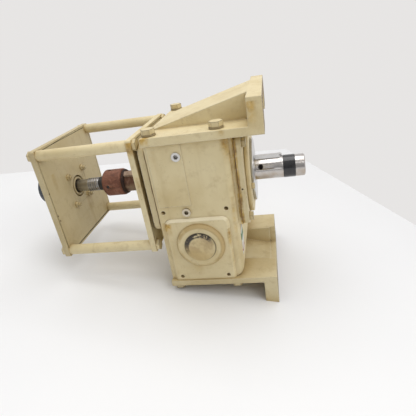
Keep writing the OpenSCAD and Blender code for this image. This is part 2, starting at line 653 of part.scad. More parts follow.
bevel_cone = bevel_m / 2 * sqrt(bevel_n1 * bevel_n1 + bevel_n2 * bevel_n2);
bevel_frac = 1 - bevel_w / bevel_cone;

housing();
left_cover_gasket();
left_cover();
left_cover_screws();
input_seal();
right_cover_gasket();
right_cover();
right_cover_plate();
right_cover_bolts();
cover_plate_screws();
output_seal_cap();
output_seal();
top_bracket();
bottom_bracket();
bracket_washers();
bracket_bolts();
front_cap();
cross_carrier();
cross_carrier_bolts();
cross_seal();
fill_plug();
level_plug();
nameplate();
inner_plate();
inner_plate_screws();
outer_plate();
tie_rod_top_front();
tie_rod_top_back();
tie_rod_bottom_front();
tie_rod_bottom_back();
tie_rod_bolts();
flange_bearing_housing();
flange_bearing_bolts();
flange_bearing_nuts();
flange_bearing_outer_ring();
main_bearing_outer_rings();
mid_bearing_outer_rings();
cross_bearing_outer_rings();
through_shaft();
upper_spur_gear();
upper_gear_key();
output_key();
input_key();
coupling_shaft_hub();
coupling_stub_hub();
coupling_set_screws();
stub_collar();
stub_shaft();
input_hub();
flange_bearing_inner_ring();
main_bearing_inner_rings();
main_bearing_balls();
intermediate_shaft();
lower_spur_gear();
bevel_pinion();
mid_bearing_inner_rings();
cross_shaft();
bevel_gear();
cross_shaft_key();
cross_bearing_inner_rings();
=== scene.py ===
"""Looks of the right angle bevel gearbox: paint, rust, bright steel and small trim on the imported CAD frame.

The CAD nodes stay where they are. This script gives them edge rounding and procedural materials, adds the
tape on the output shaft, and sets up a pale table top, a soft studio and the camera.
All lengths are metres in the CAD frame.
"""

import json  # noqa: E402
import math  # noqa: E402

import bmesh  # noqa: E402
import bpy  # noqa: E402
from mathutils import Matrix, Vector  # noqa: E402


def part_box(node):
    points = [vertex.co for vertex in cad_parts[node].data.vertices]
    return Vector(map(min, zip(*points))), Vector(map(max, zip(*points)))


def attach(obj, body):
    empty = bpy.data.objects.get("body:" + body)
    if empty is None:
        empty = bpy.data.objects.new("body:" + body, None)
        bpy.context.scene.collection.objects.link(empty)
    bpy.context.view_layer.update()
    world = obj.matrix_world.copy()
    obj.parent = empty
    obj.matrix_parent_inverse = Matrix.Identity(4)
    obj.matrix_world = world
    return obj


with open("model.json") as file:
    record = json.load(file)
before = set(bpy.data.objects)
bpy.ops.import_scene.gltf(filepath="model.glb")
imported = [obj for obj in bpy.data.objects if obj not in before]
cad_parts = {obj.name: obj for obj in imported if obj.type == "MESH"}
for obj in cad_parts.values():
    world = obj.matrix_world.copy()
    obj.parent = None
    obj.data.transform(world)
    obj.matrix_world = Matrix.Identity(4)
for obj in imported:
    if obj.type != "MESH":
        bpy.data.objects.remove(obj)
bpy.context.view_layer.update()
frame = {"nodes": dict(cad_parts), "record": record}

# ---------------------------------------------------------------- places taken from the frame
HOUSING_LO, HOUSING_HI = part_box("housing")
TOP_LO, TOP_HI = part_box("top_bracket")
LOW_LO, LOW_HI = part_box("bottom_bracket")
CAP_LO, CAP_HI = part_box("front_cap")
SHAFT_END_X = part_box("through_shaft")[1][0]
SHAFT_Z = sum(c[2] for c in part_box("input_hub")) / 2
CROSS_X = (CAP_LO[0] + CAP_HI[0]) / 2
CROSS_Z = (CAP_LO[2] + CAP_HI[2]) / 2
BOLTS_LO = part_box("bracket_bolts")[0]

# ---------------------------------------------------------------- node helpers


class Graph:
    """A small helper around one material's node tree."""

    def __init__(self, name):
        self.mat = bpy.data.materials.new(name)
        self.mat.use_nodes = True
        self.tree = self.mat.node_tree
        self.bsdf = self.tree.nodes["Principled BSDF"]
        self.coords = self.add("ShaderNodeTexCoord").outputs["Object"]

    def add(self, kind, **settings):
        made = self.tree.nodes.new(kind)
        for key, value in settings.items():
            setattr(made, key, value)
        return made

    def plug(self, value, socket):
        if isinstance(value, bpy.types.NodeSocket):
            self.tree.links.new(value, socket)
        else:
            socket.default_value = value

    def math(self, op, a, b=0.0, clamp=False):
        made = self.add("ShaderNodeMath", operation=op, use_clamp=clamp)
        self.plug(a, made.inputs[0])
        self.plug(b, made.inputs[1])
        return made.outputs[0]

    def times(self, a, b, clamp=False):
        return self.math("MULTIPLY", a, b, clamp)

    def plus(self, a, b):
        return self.math("ADD", a, b)

    def noise(self, scale, detail=4.0, rough=0.55, stretch=(1, 1, 1), shift=0.0, warp=0.0):
        where = self.add("ShaderNodeMapping")
        self.plug(self.coords, where.inputs["Vector"])
        where.inputs["Scale"].default_value = stretch
        where.inputs["Location"].default_value = (shift, shift * 1.7, shift * 0.6)
        made = self.add("ShaderNodeTexNoise")
        self.plug(where.outputs[0], made.inputs["Vector"])
        made.inputs["Scale"].default_value = scale
        made.inputs["Detail"].default_value = detail
        made.inputs["Roughness"].default_value = rough
        made.inputs["Distortion"].default_value = warp
        return made.outputs["Fac"]

    def step(self, value, low, high):
        """0 below low, 1 above high, smooth between."""
        made = self.add("ShaderNodeMapRange", interpolation_type="SMOOTHSTEP")
        self.plug(value, made.inputs["Value"])
        made.inputs["From Min"].default_value = low
        made.inputs["From Max"].default_value = high
        return made.outputs["Result"]

    def ramp(self, value, stops):
        made = self.add("ShaderNodeValToRGB")
        self.plug(value, made.inputs["Fac"])
        band = made.color_ramp
        while len(band.elements) < len(stops):
            band.elements.new(0.5)
        for element, (place, colour) in zip(band.elements, stops):
            element.position = place
            element.color = (*colour, 1)
        return made.outputs["Color"]

    def mix(self, fac, a, b, blend="MIX"):
        made = self.add("ShaderNodeMix", data_type="RGBA", blend_type=blend)
        self.plug(fac, made.inputs[0])
        for socket, value in ((made.inputs[6], a), (made.inputs[7], b)):
            self.plug((*value, 1) if isinstance(value, tuple) else value, socket)
        return made.outputs[2]

    def axis(self, index):
        made = self.add("ShaderNodeSeparateXYZ")
        self.plug(self.coords, made.inputs[0])
        return made.outputs[index]

    def near(self, point, radius, ragged=0.5, scale=180):
        """A ragged spot: 1 at the point, 0 outside radius."""
        made = self.add("ShaderNodeVectorMath", operation="DISTANCE")
        self.plug(self.coords, made.inputs[0])
        made.inputs[1].default_value = point
        grain = self.noise(scale, 5, 0.65, shift=point[0] * 7)
        wide = self.times(grain, ragged * radius * 2)
        return self.step(self.math("SUBTRACT", made.outputs["Value"], wide), radius * 0.9, radius * 0.1)

    def streak(self, point, width, length, ragged=0.7):
        """A run of stain: 1 under the point, fading down over length."""
        x, y, z = (self.axis(i) for i in range(3))
        sway = self.times(self.noise(70, 4, 0.6, stretch=(1, 1, 0.25), shift=point[0] * 5),
                          width * ragged * 2)
        dx = self.math("ABSOLUTE", self.math("SUBTRACT", x, point[0]))
        dy = self.math("ABSOLUTE", self.math("SUBTRACT", y, point[1]))
        off = self.math("SUBTRACT", self.math("MAXIMUM", dx, dy), sway)
        side = self.step(off, width * 0.7, -width * 0.5)
        below = self.step(z, point[2] - length, point[2] - length * 0.15)
        above = self.step(z, point[2] + 0.002, point[2] - 0.001)
        return self.times(side, self.times(below, above))

    def seam(self, index, place, width, scale=60):
        """A ragged band on both sides of a joint line that lies across one axis: used for weeping stains and
        for painted shade in gaps.
        """
        off = self.math("ABSOLUTE", self.math("SUBTRACT", self.axis(index), place))
        wide = self.times(self.noise(scale, 6, 0.7, stretch=(1, 1, 0.4), shift=place * 3), width * 1.6)
        return self.step(self.math("SUBTRACT", off, wide), width * 0.1, -width * 0.5)

    def any_of(self, masks):
        total = masks[0]
        for mask in masks[1:]:
            total = self.math("MAXIMUM", total, mask)
        return total

    def rounded(self, radius):
        made = self.add("ShaderNodeBevel", samples=8)
        made.inputs["Radius"].default_value = radius
        return made.outputs[0]

    def edges(self, radius):
        """1 along sharp edges, 0 on flats, from the difference of the rounded and true normals."""
        true = self.add("ShaderNodeNewGeometry").outputs["Normal"]
        made = self.add("ShaderNodeVectorMath", operation="DOT_PRODUCT")
        self.plug(self.rounded(radius), made.inputs[0])
        self.plug(true, made.inputs[1])
        return self.step(made.outputs["Value"], 0.995, 0.9)

    def crevice(self, distance):
        """1 deep in a corner, 0 in the open."""
        made = self.add("ShaderNodeAmbientOcclusion", samples=8)
        made.inputs["Distance"].default_value = distance
        return self.math("SUBTRACT", 1.0, made.outputs["AO"])

    def bump(self, height, strength, distance=0.001, after=None):
        made = self.add("ShaderNodeBump")
        made.inputs["Strength"].default_value = strength
        made.inputs["Distance"].default_value = distance
        self.plug(height, made.inputs["Height"])
        if after is not None:
            self.plug(after, made.inputs["Normal"])
        return made.outputs["Normal"]

    def finish(self, colour, rough, metal=0.0, normal=None, **fixed):
        self.plug((*colour, 1) if isinstance(colour, tuple) else colour, self.bsdf.inputs["Base Color"])
        self.plug(rough, self.bsdf.inputs["Roughness"])
        self.plug(metal, self.bsdf.inputs["Metallic"])
        if normal is not None:
            self.plug(normal, self.bsdf.inputs["Normal"])
        for key, value in fixed.items():
            self.bsdf.inputs[key.replace("_", " ")].default_value = value
        return self.mat


# ---------------------------------------------------------------- materials

CREAM = (0.690, 0.585, 0.345)
CREAM_PALE = (0.735, 0.640, 0.400)
CREAM_DULL = (0.610, 0.495, 0.262)
OCHRE = (0.46, 0.30, 0.085)
CORNER_GRIME_AND_SHADE = (0.155, 0.112, 0.055)
# pale tint of the painted highlight on up-facing faces
TOP_HIGHLIGHT_TINT = (0.88, 0.80, 0.59)
STAIN_STOPS = [(0.36, (0.27, 0.150, 0.035)), (0.58, (0.56, 0.36, 0.085))]
RUST_STOPS = [(0.34, (0.045, 0.024, 0.016)), (0.52, (0.13, 0.062, 0.028)), (0.75, (0.27, 0.15, 0.07))]


def cream_paint(name, cast=0.5, grime=0.6, wear=0.35, streaks=(), seams=(), chips_at=(), bare_from_x=None,
                shift=0.0, dark=0.0, stipple=0.0, soft_edge=0.0014, edge_tint=(0.80, 0.725, 0.52),
                reach=0.010, top_highlight=0.0, shaded_gap_lines=()):
    """Thick cream machine paint on iron: yellowed, streaked with ochre, a few chips down to rust; with
    painted highlights on edges and up-facing faces, and painted shade in gaps, long-reach corners and
    darkened parts.
    """
    g = Graph(name)
    broad = g.noise(9, 4, 0.55, shift=shift)
    fine = g.noise(70, 6, 0.6, shift=shift + 3)
    colour = g.ramp(broad, [(0.34, CREAM_DULL), (0.50, CREAM), (0.68, CREAM_PALE)])
    colour = g.mix(g.times(g.step(fine, 0.50, 0.74), 0.55), colour, (0.54, 0.43, 0.235))
    # Edges are mixed toward edge_tint: the pale default is a painted highlight along the edges; the dark and
    # worn tints given to bolts, nuts and washers are worn, grimy edges.
    edge = g.edges(0.0026)
    colour = g.mix(g.times(edge, 0.55), colour, edge_tint)
    drips = g.noise(34, 5, 0.6, stretch=(1, 1, 0.10), shift=shift + 5)
    colour = g.mix(g.times(g.step(drips, 0.56, 0.72), 0.42 * grime), colour, (0.42, 0.30, 0.125))
    smudge = g.noise(34, 7, 0.7, shift=shift + 11, warp=0.6)
    colour = g.mix(g.times(g.step(smudge, 0.58, 0.70), 0.36 * grime), colour, (0.33, 0.25, 0.12))
    # Up-facing faces are painted paler: a painted highlight where the ceiling light falls on them.
    if top_highlight:
        up = g.add("ShaderNodeSeparateXYZ")
        g.plug(g.add("ShaderNodeNewGeometry").outputs["Normal"], up.inputs[0])
        colour = g.mix(g.times(g.step(up.outputs[2], 0.25, 0.65), top_highlight), colour, TOP_HIGHLIGHT_TINT)
    # Corners found by an occlusion mask take ochre and grime; with a long reach, as on the bottom bracket,
    # the same mix is painted shade.
    corner = g.crevice(reach)
    colour = g.mix(g.times(g.step(corner, 0.10, 0.55), 0.75 * grime), colour, OCHRE)
    corner_dark = g.times(g.step(corner, 0.42, 0.95), g.step(fine, 0.22, 0.60))
    colour = g.mix(g.times(corner_dark, min(1.0, grime * 1.2)), colour, CORNER_GRIME_AND_SHADE)
    runs = [g.times(g.streak(place, width, length), strength) for place, width, length, strength in streaks]
    runs += [g.times(g.seam(index, place, width), strength) for index, place, width, strength in seams]
    if runs:
        patchy = g.plus(0.45, g.step(g.noise(85, 5, 0.7, shift=shift + 4), 0.35, 0.62))
        stain = g.times(g.any_of(runs), patchy, True)
        colour = g.mix(stain, colour, g.ramp(g.noise(60, 5, 0.7, shift=shift + 6), STAIN_STOPS))
    rough = g.plus(0.38, g.times(smudge, 0.34))
    specks = g.step(g.noise(320, 2, 0.5, shift=shift + 2), 0.715, 0.745)
    chips = g.times(edge, g.step(g.noise(60, 5, 0.7, shift=shift + 7), 0.62 - 0.10 * wear, 0.67))
    masks = [g.times(chips, min(1.0, wear * 1.6)), g.times(specks, 0.55 * grime)]
    masks += [g.near(place, radius) for place, radius in chips_at]
    # A near-black line along the given joints: painted shade in the gap.
    masks += [g.times(g.seam(index, place, width, 150), 0.85) for index, place, width in shaded_gap_lines]
    if bare_from_x is not None:
        masks.append(g.step(g.axis(0), bare_from_x - 0.0004, bare_from_x + 0.0002))
    worn = g.any_of(masks)
    rust = g.ramp(g.noise(150, 6, 0.7, shift=shift + 1), RUST_STOPS)
    colour = g.mix(worn, colour, rust)
    # dark mixes the whole part toward dull brown; on the bottom bracket and the outer plate this is painted
    # shade.
    if dark:
        colour = g.mix(dark, colour, (0.27, 0.215, 0.12))
    rough = g.math("MAXIMUM", rough, g.times(worn, 0.85))
    lumps = g.bump(g.noise(55, 3, 0.5, shift=shift + 9), 0.4 * cast, 0.004, after=g.rounded(soft_edge))
    grainy = g.bump(g.noise(260, 4, 0.6, shift=shift + 8), 0.25 + stipple, 0.0006 + 0.0012 * stipple,
                    after=lumps)
    chip_edge = g.bump(g.math("SUBTRACT", 1.0, worn), 0.35, 0.0006, after=grainy)
    return g.finish(colour, rough, normal=chip_edge)


def bright_steel(name, base=(0.60, 0.585, 0.57), rings=2600, stain=0.3, around="x", rough=(0.16, 0.34)):
    """Turned steel: fine tool rings across the axis, faint tea-coloured stains."""
    g = Graph(name)
    stretch = {"x": (1, 0.02, 0.02), "y": (0.02, 1, 0.02), "none": (1, 1, 1)}[around]
    tool = g.noise(rings, 2, 0.5, stretch=stretch)
    mark = g.noise(60, 6, 0.65, shift=4, warp=0.4)
    colour = g.mix(g.times(g.step(mark, 0.52, 0.70), stain), base, (0.30, 0.22, 0.14))
    colour = g.mix(g.times(tool, 0.25), colour, (0.38, 0.37, 0.36))
    # Darker in corners and hollows.
    corner_dark = g.step(g.crevice(0.006), 0.35, 0.95)
    colour = g.mix(g.times(corner_dark, 0.75), colour, (0.05, 0.04, 0.03))
    spread = g.times(g.noise(90, 5, 0.6, shift=8), rough[1] - rough[0])
    return g.finish(colour, g.plus(spread, rough[0]), 1.0, g.bump(tool, 0.12, 0.0002))


def rusty_iron(name, deep=(0.085, 0.036, 0.025), mid=(0.215, 0.085, 0.052), top=(0.33, 0.165, 0.11),
               metal=0.0):
    """Brown pitted rust with lighter powdery patches."""
    g = Graph(name)
    patch = g.noise(75, 8, 0.72, warp=0.8)
    colour = g.ramp(patch, [(0.30, deep), (0.50, mid), (0.72, top)])
    pits = g.noise(600, 4, 0.7, shift=2)
    colour = g.mix(g.step(pits, 0.60, 0.72), colour, deep)
    worn = g.edges(0.0016)
    colour = g.mix(g.times(worn, 0.45), colour, (0.40, 0.24, 0.16))
    colour = g.mix(g.times(g.step(g.crevice(0.008), 0.3, 0.9), 0.7), colour, (0.02, 0.014, 0.01))
    coarse = g.bump(patch, 0.5, 0.0012)
    return g.finish(colour, g.plus(0.55, g.times(pits, 0.4)), metal, g.bump(pits, 0.5, 0.0005, after=coarse))


def dark_iron(name, base=(0.055, 0.056, 0.062), pale=(0.13, 0.13, 0.14), metal=0.5):
    """Oily black iron with rubbed high spots and a little rust in the corners."""
    g = Graph(name)
    patch = g.noise(60, 6, 0.65, warp=0.5)
    colour = g.ramp(patch, [(0.35, base), (0.68, pale)])
    colour = g.mix(g.times(g.edges(0.0012), 0.6), colour, (0.30, 0.29, 0.28))
    colour = g.mix(g.times(g.step(g.noise(45, 5, 0.7, shift=6), 0.56, 0.68), 0.55), colour,
                   (0.12, 0.055, 0.03))
    return g.finish(colour, g.plus(0.32, g.times(patch, 0.3)), metal,
                    g.bump(g.noise(500, 4, 0.6), 0.25, 0.0004))


def black_rubber(name):
    g = Graph(name)
    grain = g.noise(350, 4, 0.6)
    colour = g.ramp(grain, [(0.3, (0.012, 0.012, 0.012)), (0.7, (0.035, 0.032, 0.028))])
    return g.finish(colour, g.plus(0.5, g.times(grain, 0.3)), 0.0, g.bump(grain, 0.3, 0.0003))


def gasket_line(name):
    """Gasket edge: near-black with rust-brown oil weeping out of it."""
    g = Graph(name)
    seep = g.noise(40, 6, 0.7, stretch=(1, 1, 0.5))
    oily = [(0.35, (0.05, 0.028, 0.014)), (0.5, (0.19, 0.105, 0.033)), (0.66, (0.42, 0.27, 0.09))]
    colour = g.ramp(seep, oily)
    return g.finish(colour, g.plus(0.35, g.times(seep, 0.4)), 0.0, g.bump(seep, 0.4, 0.0006))


def glossy_tape(name):
    """Black vinyl tape with one lap edge and faint stretch lines."""
    g = Graph(name)
    lines = g.noise(900, 2, 0.5, stretch=(1, 0.05, 0.05))
    broad = g.noise(120, 4, 0.6)
    colour = g.ramp(broad, [(0.3, (0.006, 0.006, 0.008)), (0.75, (0.022, 0.022, 0.026))])
    return g.finish(colour, g.plus(0.16, g.times(lines, 0.16)), 0.0, g.bump(lines, 0.2, 0.0002),
                    Coat_Weight=0.4)


def cut_gear_steel(name):
    g = Graph(name)
    tool = g.noise(900, 3, 0.5)
    oil = g.noise(40, 5, 0.6)
    colour = g.ramp(oil, [(0.35, (0.30, 0.26, 0.20)), (0.7, (0.52, 0.50, 0.46))])
    return g.finish(colour, g.plus(0.2, g.times(oil, 0.2)), 1.0, g.bump(tool, 0.1, 0.0002))


def label_foil(name):
    """Blank rating label: white foil with a green band and a thin red band, scuffed, no lettering."""
    g = Graph(name)
    lo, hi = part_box("nameplate")
    height = hi[2] - lo[2]
    z = g.axis(2)

    def band(low, high):
        above = g.math("GREATER_THAN", z, lo[2] + low * height)
        below = g.math("LESS_THAN", z, lo[2] + high * height)
        return g.times(above, below)

    scuff = g.noise(160, 6, 0.7)
    colour = g.ramp(scuff, [(0.3, (0.62, 0.62, 0.58)), (0.6, (0.80, 0.80, 0.77))])
    colour = g.mix(band(0.60, 0.86), colour, (0.06, 0.22, 0.12))
    colour = g.mix(band(0.14, 0.22), colour, (0.40, 0.05, 0.04))
    colour = g.mix(g.times(g.step(scuff, 0.60, 0.70), 0.6), colour, (0.42, 0.36, 0.24))
    return g.finish(colour, g.plus(0.25, g.times(scuff, 0.3)), 0.0, g.bump(scuff, 0.1, 0.0003))


def scraped_cap_paint(name):
    """The cap: cream paint with a raised disc scraped dark along an arc, painted shade on the sloping rim and
    a painted reflection on the lower disc.
    """
    g = Graph(name)
    off = g.add("ShaderNodeVectorMath", operation="SUBTRACT")
    g.plug(g.coords, off.inputs[0])
    off.inputs[1].default_value = (CROSS_X, 0, CROSS_Z)
    parts = g.add("ShaderNodeSeparateXYZ")
    g.plug(off.outputs[0], parts.inputs[0])
    x, z = parts.outputs[0], parts.outputs[2]
    radius = g.math("SQRT", g.plus(g.times(x, x), g.times(z, z)))
    broad = g.noise(14, 5, 0.6)
    colour = g.ramp(broad, [(0.32, CREAM_DULL), (0.5, CREAM), (0.72, CREAM_PALE)])
    ring = g.times(g.step(radius, 0.0172, 0.0196), g.step(radius, 0.0262, 0.0252))
    upper = g.step(g.math("SUBTRACT", z, g.times(x, 0.55)), -0.004, 0.008)
    ragged = g.step(g.noise(120, 7, 0.75, warp=1.0), 0.36, 0.46)
    scrape = g.times(g.times(ring, ragged), g.plus(0.04, g.times(upper, 0.96)))
    groove = g.times(g.step(radius, 0.0240, 0.0250), g.step(radius, 0.0268, 0.0258))
    rim = g.times(g.step(radius, 0.0380, 0.0394), g.step(g.noise(60, 5, 0.7, shift=3), 0.30, 0.52))
    dull = g.times(g.step(radius, 0.0245, 0.0230), g.step(g.noise(45, 5, 0.65, shift=7), 0.36, 0.58))
    colour = g.mix(g.times(dull, 0.75), colour, (0.44, 0.315, 0.16))
    colour = g.mix(g.any_of([scrape, g.times(groove, 0.7), g.times(rim, 0.7)]), colour, (0.055, 0.046, 0.036))
    # The sloping outer rim is painted gold-brown: painted shade of the slope.
    slope = g.times(g.step(radius, 0.0315, 0.0350), g.step(g.noise(38, 4, 0.6, shift=5), 0.24, 0.50))
    colour = g.mix(g.times(slope, 0.80), colour, (0.45, 0.315, 0.125))
    colour = g.mix(g.times(g.step(g.noise(80, 6, 0.7, shift=6), 0.56, 0.68), 0.4), colour, (0.34, 0.26, 0.14))
    # The lower part of the inner disc is painted yellow: a painted reflection.
    lower_reflection = g.times(g.step(g.plus(z, g.times(x, 0.4)), 0.002, -0.016), g.step(radius, 0.0262, 0.0250))
    colour = g.mix(g.times(lower_reflection, 0.45), colour, (0.56, 0.41, 0.165))
    rough = g.plus(0.38, g.times(ragged, 0.25))
    dents = g.bump(g.noise(70, 4, 0.6, shift=1), 0.3, 0.003)
    return g.finish(colour, rough, 0.0, g.bump(scrape, 0.4, 0.0006, after=dents))


def table_top(name):
    g = Graph(name)
    tone = g.ramp(g.noise(1.2, 3, 0.5), [(0.3, (0.80, 0.81, 0.83)), (0.7, (0.86, 0.87, 0.885))])
    return g.finish(tone, g.plus(0.5, g.times(g.noise(2, 3), 0.1)), 0.0,
                    g.bump(g.noise(500, 3), 0.03, 0.0003))


# ---------------------------------------------------------------- dressing the CAD nodes

FRONT_Y = HOUSING_LO[1]
PAD_TOP = SHAFT_Z - 0.034
GASKET_X = HOUSING_HI[0] + 0.0005
housing_streaks = [  # (place, half width, length, strength)
    ((HOUSING_LO[0] + 0.011, FRONT_Y, PAD_TOP - 0.007), 0.008, 0.024, 1.00),
    ((HOUSING_LO[0] + 0.003, FRONT_Y, PAD_TOP - 0.045), 0.004, 0.060, 0.75),
    ((-0.0685, FRONT_Y, PAD_TOP - 0.022), 0.004, 0.040, 1.00),
    ((-0.0640, FRONT_Y, PAD_TOP - 0.060), 0.004, 0.055, 0.85),
    ((-0.0560, FRONT_Y + 0.004, PAD_TOP + 0.030), 0.005, 0.100, 0.55),
    ((-0.0500, FRONT_Y + 0.009, SHAFT_Z + 0.070), 0.005, 0.130, 0.95),
    # painted shadow under the top bracket's overhang, mixed with grime running down
    ((-0.0545, FRONT_Y + 0.004, TOP_LO[2]), 0.009, 0.045, 0.80),
    ((HOUSING_LO[0] + 0.012, FRONT_Y, SHAFT_Z + 0.080), 0.005, 0.050, 0.30),
    ((HOUSING_LO[0] + 0.052, FRONT_Y, SHAFT_Z - 0.105), 0.010, 0.040, 0.35),
    ((-0.171, FRONT_Y, SHAFT_Z - 0.024), 0.004, 0.012, 0.70),
    ((-0.069, FRONT_Y, SHAFT_Z - 0.024), 0.004, 0.012, 0.70),
]
top_streaks = [
    ((TOP_LO[0] + 0.006, TOP_LO[1], TOP_LO[2] + 0.014), 0.008, 0.016, 0.90),
    ((TOP_HI[0] - 0.016, TOP_LO[1], TOP_HI[2] - 0.006), 0.007, 0.045, 0.60),
    ((TOP_HI[0] - 0.060, TOP_LO[1], TOP_LO[2] + 0.012), 0.006, 0.012, 0.40),
]
plate_lo, plate_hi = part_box("inner_plate")
inner_streaks = [
    ((plate_hi[0] - 0.003, plate_lo[1], plate_hi[2] - 0.004), 0.008, 0.030, 0.90),
    ((plate_hi[0] - 0.003, plate_lo[1], plate_hi[2] - 0.060), 0.005, 0.050, 0.45),
]
outer_lo, outer_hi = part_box("outer_plate")
outer_chips = [((outer_hi[0], outer_lo[1] + 0.004 + 0.002 * i, outer_hi[2] - z), 0.0016)
               for i, z in enumerate((0.075, 0.118, 0.128))]
outer_streaks = [((outer_hi[0], outer_lo[1] + 0.030, outer_hi[2] - 0.050), 0.006, 0.050, 0.35),
                 ((outer_hi[0], outer_lo[1] + 0.120, outer_hi[2] - 0.120), 0.010, 0.060, 0.35)]
cover_streaks = [((GASKET_X + 0.003, FRONT_Y + 0.005, SHAFT_Z + z), 0.005, 0.050,
                  0.75) for z in (0.066, 0.030, -0.010)]

WORN_EDGE = (0.26, 0.19, 0.10)
DARK_EDGE = (0.12, 0.085, 0.045)

MATERIALS = {
    # The housing's up-facing faces get a painted highlight.
    "housing": cream_paint("paint_housing", 0.8, 0.60, 0.30, housing_streaks, [(0, GASKET_X, 0.0050, 1.0)],
                           shift=0.0, soft_edge=0.0020, top_highlight=0.75, reach=0.007),
    # The left cover's joint with the housing gets a painted shade line.
    "left_cover": cream_paint("paint_left_cover", 0.7, 1.0, 0.9, shift=1.3, dark=0.15, soft_edge=0.003,
                              shaded_gap_lines=[(0, HOUSING_LO[0] - 0.001, 0.0022)]),
    "right_cover": cream_paint("paint_right_cover", 0.7, 0.6, 0.30, cover_streaks,
                               [(0, GASKET_X, 0.0058, 1.0)], shift=2.1, dark=0.18),
    "right_cover_plate": cream_paint("paint_right_plate", 0.5, 0.5, 0.30, shift=2.9, dark=0.06),
    "top_bracket": cream_paint("paint_top_bracket", 0.7, 0.5, 0.30, top_streaks, bare_from_x=TOP_HI[0],
                               shift=3.7, stipple=0.35, soft_edge=0.0035),
    # Painted shade: the bottom bracket is darkened overall, and its long corner reach darkens its hollows,
    # standing in for the shadow of the housing and the top bracket.
    "bottom_bracket": cream_paint("paint_bottom_bracket", 0.7, 0.7, 0.3, bare_from_x=LOW_HI[0], shift=4.4,
                                  dark=0.16, stipple=0.35, soft_edge=0.0035, reach=0.034),
    "front_cap": scraped_cap_paint("paint_front_cap"),
    "cross_carrier": cream_paint("paint_carrier", 0.6, 0.7, 0.4, shift=5.2),
    "inner_plate": cream_paint("paint_inner_plate", 0.2, 0.7, 0.35, inner_streaks, shift=6.1),
    # The outer plate is painted darker: painted shade on the plate, whose inner face is shadowed by the
    # housing.
    "outer_plate": cream_paint("paint_outer_plate", 0.2, 0.7, 0.35, outer_streaks, chips_at=outer_chips,
                               shift=6.9, dark=0.36),
    "tie_rod_bolts": cream_paint("paint_rod_bolts", 0.2, 0.9, 0.6, shift=7.7, edge_tint=WORN_EDGE,
                                 reach=0.004),
    "bracket_bolts": cream_paint("paint_bracket_bolts", 0.2, 1.0, 1.0, shift=8.5, dark=0.05,
                                 edge_tint=DARK_EDGE, reach=0.004),
    "bracket_washers": cream_paint("paint_washers", 0.2, 1.0, 1.0, shift=9.1, dark=0.92,
                                   edge_tint=DARK_EDGE, reach=0.004),
    "right_cover_bolts": cream_paint("paint_cover_bolts", 0.2, 1.0, 0.9, shift=9.9, dark=0.35,
                                     edge_tint=DARK_EDGE, reach=0.004),
    "cover_plate_screws": cream_paint("paint_plate_screws", 0.2, 0.8, 0.6, shift=13.3, dark=0.15),
    "flange_bearing_nuts": cream_paint("paint_nuts", 0.2, 0.9, 0.9, shift=10.7, dark=0.15,
                                       edge_tint=DARK_EDGE, reach=0.003),
    "flange_bearing_bolts": cream_paint("paint_flange_bolts", 0.2, 0.9, 0.9, shift=11.1, dark=0.3,
                                        edge_tint=DARK_EDGE, reach=0.003),
    "flange_bearing_housing": cream_paint("flange_iron", 0.6, 0.9, 0.6, shift=11.8, dark=0.55, stipple=0.3),
    "input_hub": dark_iron("hub_iron", (0.06, 0.066, 0.078), (0.12, 0.13, 0.15)),
    "coupling_stub_hub": rusty_iron("coupling_rust"),
    "coupling_shaft_hub": rusty_iron("coupling_dark", (0.015, 0.010, 0.009), (0.045, 0.024, 0.019),
                                     (0.10, 0.055, 0.04), 0.3),
    "coupling_set_screws": dark_iron("set_screw_black"),
    "stub_collar": dark_iron("collar_black", (0.02, 0.02, 0.022), (0.06, 0.06, 0.06)),
    "stub_shaft": bright_steel("stub_steel", (0.44, 0.43, 0.42), 2200, 0.5, "x", (0.24, 0.46)),
    "input_key": rusty_iron("key_rust", (0.14, 0.085, 0.055), (0.36, 0.26, 0.19), (0.50, 0.41, 0.32), 0.2),
    "output_key": bright_steel("key_steel", (0.70, 0.69, 0.68), 1800, 0.1, "none", (0.18, 0.30)),
    "output_seal_cap": bright_steel("seal_cap_steel", (0.66, 0.66, 0.65), 2400, 0.25, "x", (0.22, 0.38)),
    "fill_plug": bright_steel("plug_zinc", (0.78, 0.77, 0.74), 700, 0.2, "none", (0.36, 0.52)),
    "level_plug": bright_steel("plug_zinc_low", (0.66, 0.59, 0.45), 650, 0.4, "none", (0.36, 0.52)),
    "left_cover_screws": dark_iron("screw_black"),
    "inner_plate_screws": dark_iron("plate_screw_black"),
    "cross_carrier_bolts": bright_steel("carrier_bolt_zinc", (0.45, 0.44, 0.42), 700, 0.5, "none",
                                        (0.3, 0.5)),
    "cross_shaft": bright_steel("cross_steel", (0.56, 0.55, 0.54), 2400, 0.25, "y", (0.18, 0.34)),
    "cross_shaft_key": bright_steel("cross_key_steel", (0.50, 0.49, 0.47), 1500, 0.4, "none", (0.25, 0.40)),
    "nameplate": label_foil("label_foil"),
    "left_cover_gasket": gasket_line("gasket_left"),
    "right_cover_gasket": gasket_line("gasket_right"),
}
for i, where in enumerate(("top_front", "top_back", "bottom_front", "bottom_back")):
    MATERIALS["tie_rod_" + where] = cream_paint("paint_rod_" + where, 0.15, 0.6, 0.4, shift=12.0 + i * 0.9)


SHAFT_HOLE = (-0.014, -0.0138, SHAFT_Z + 0.0070)  # inside the small cross hole of the output shaft


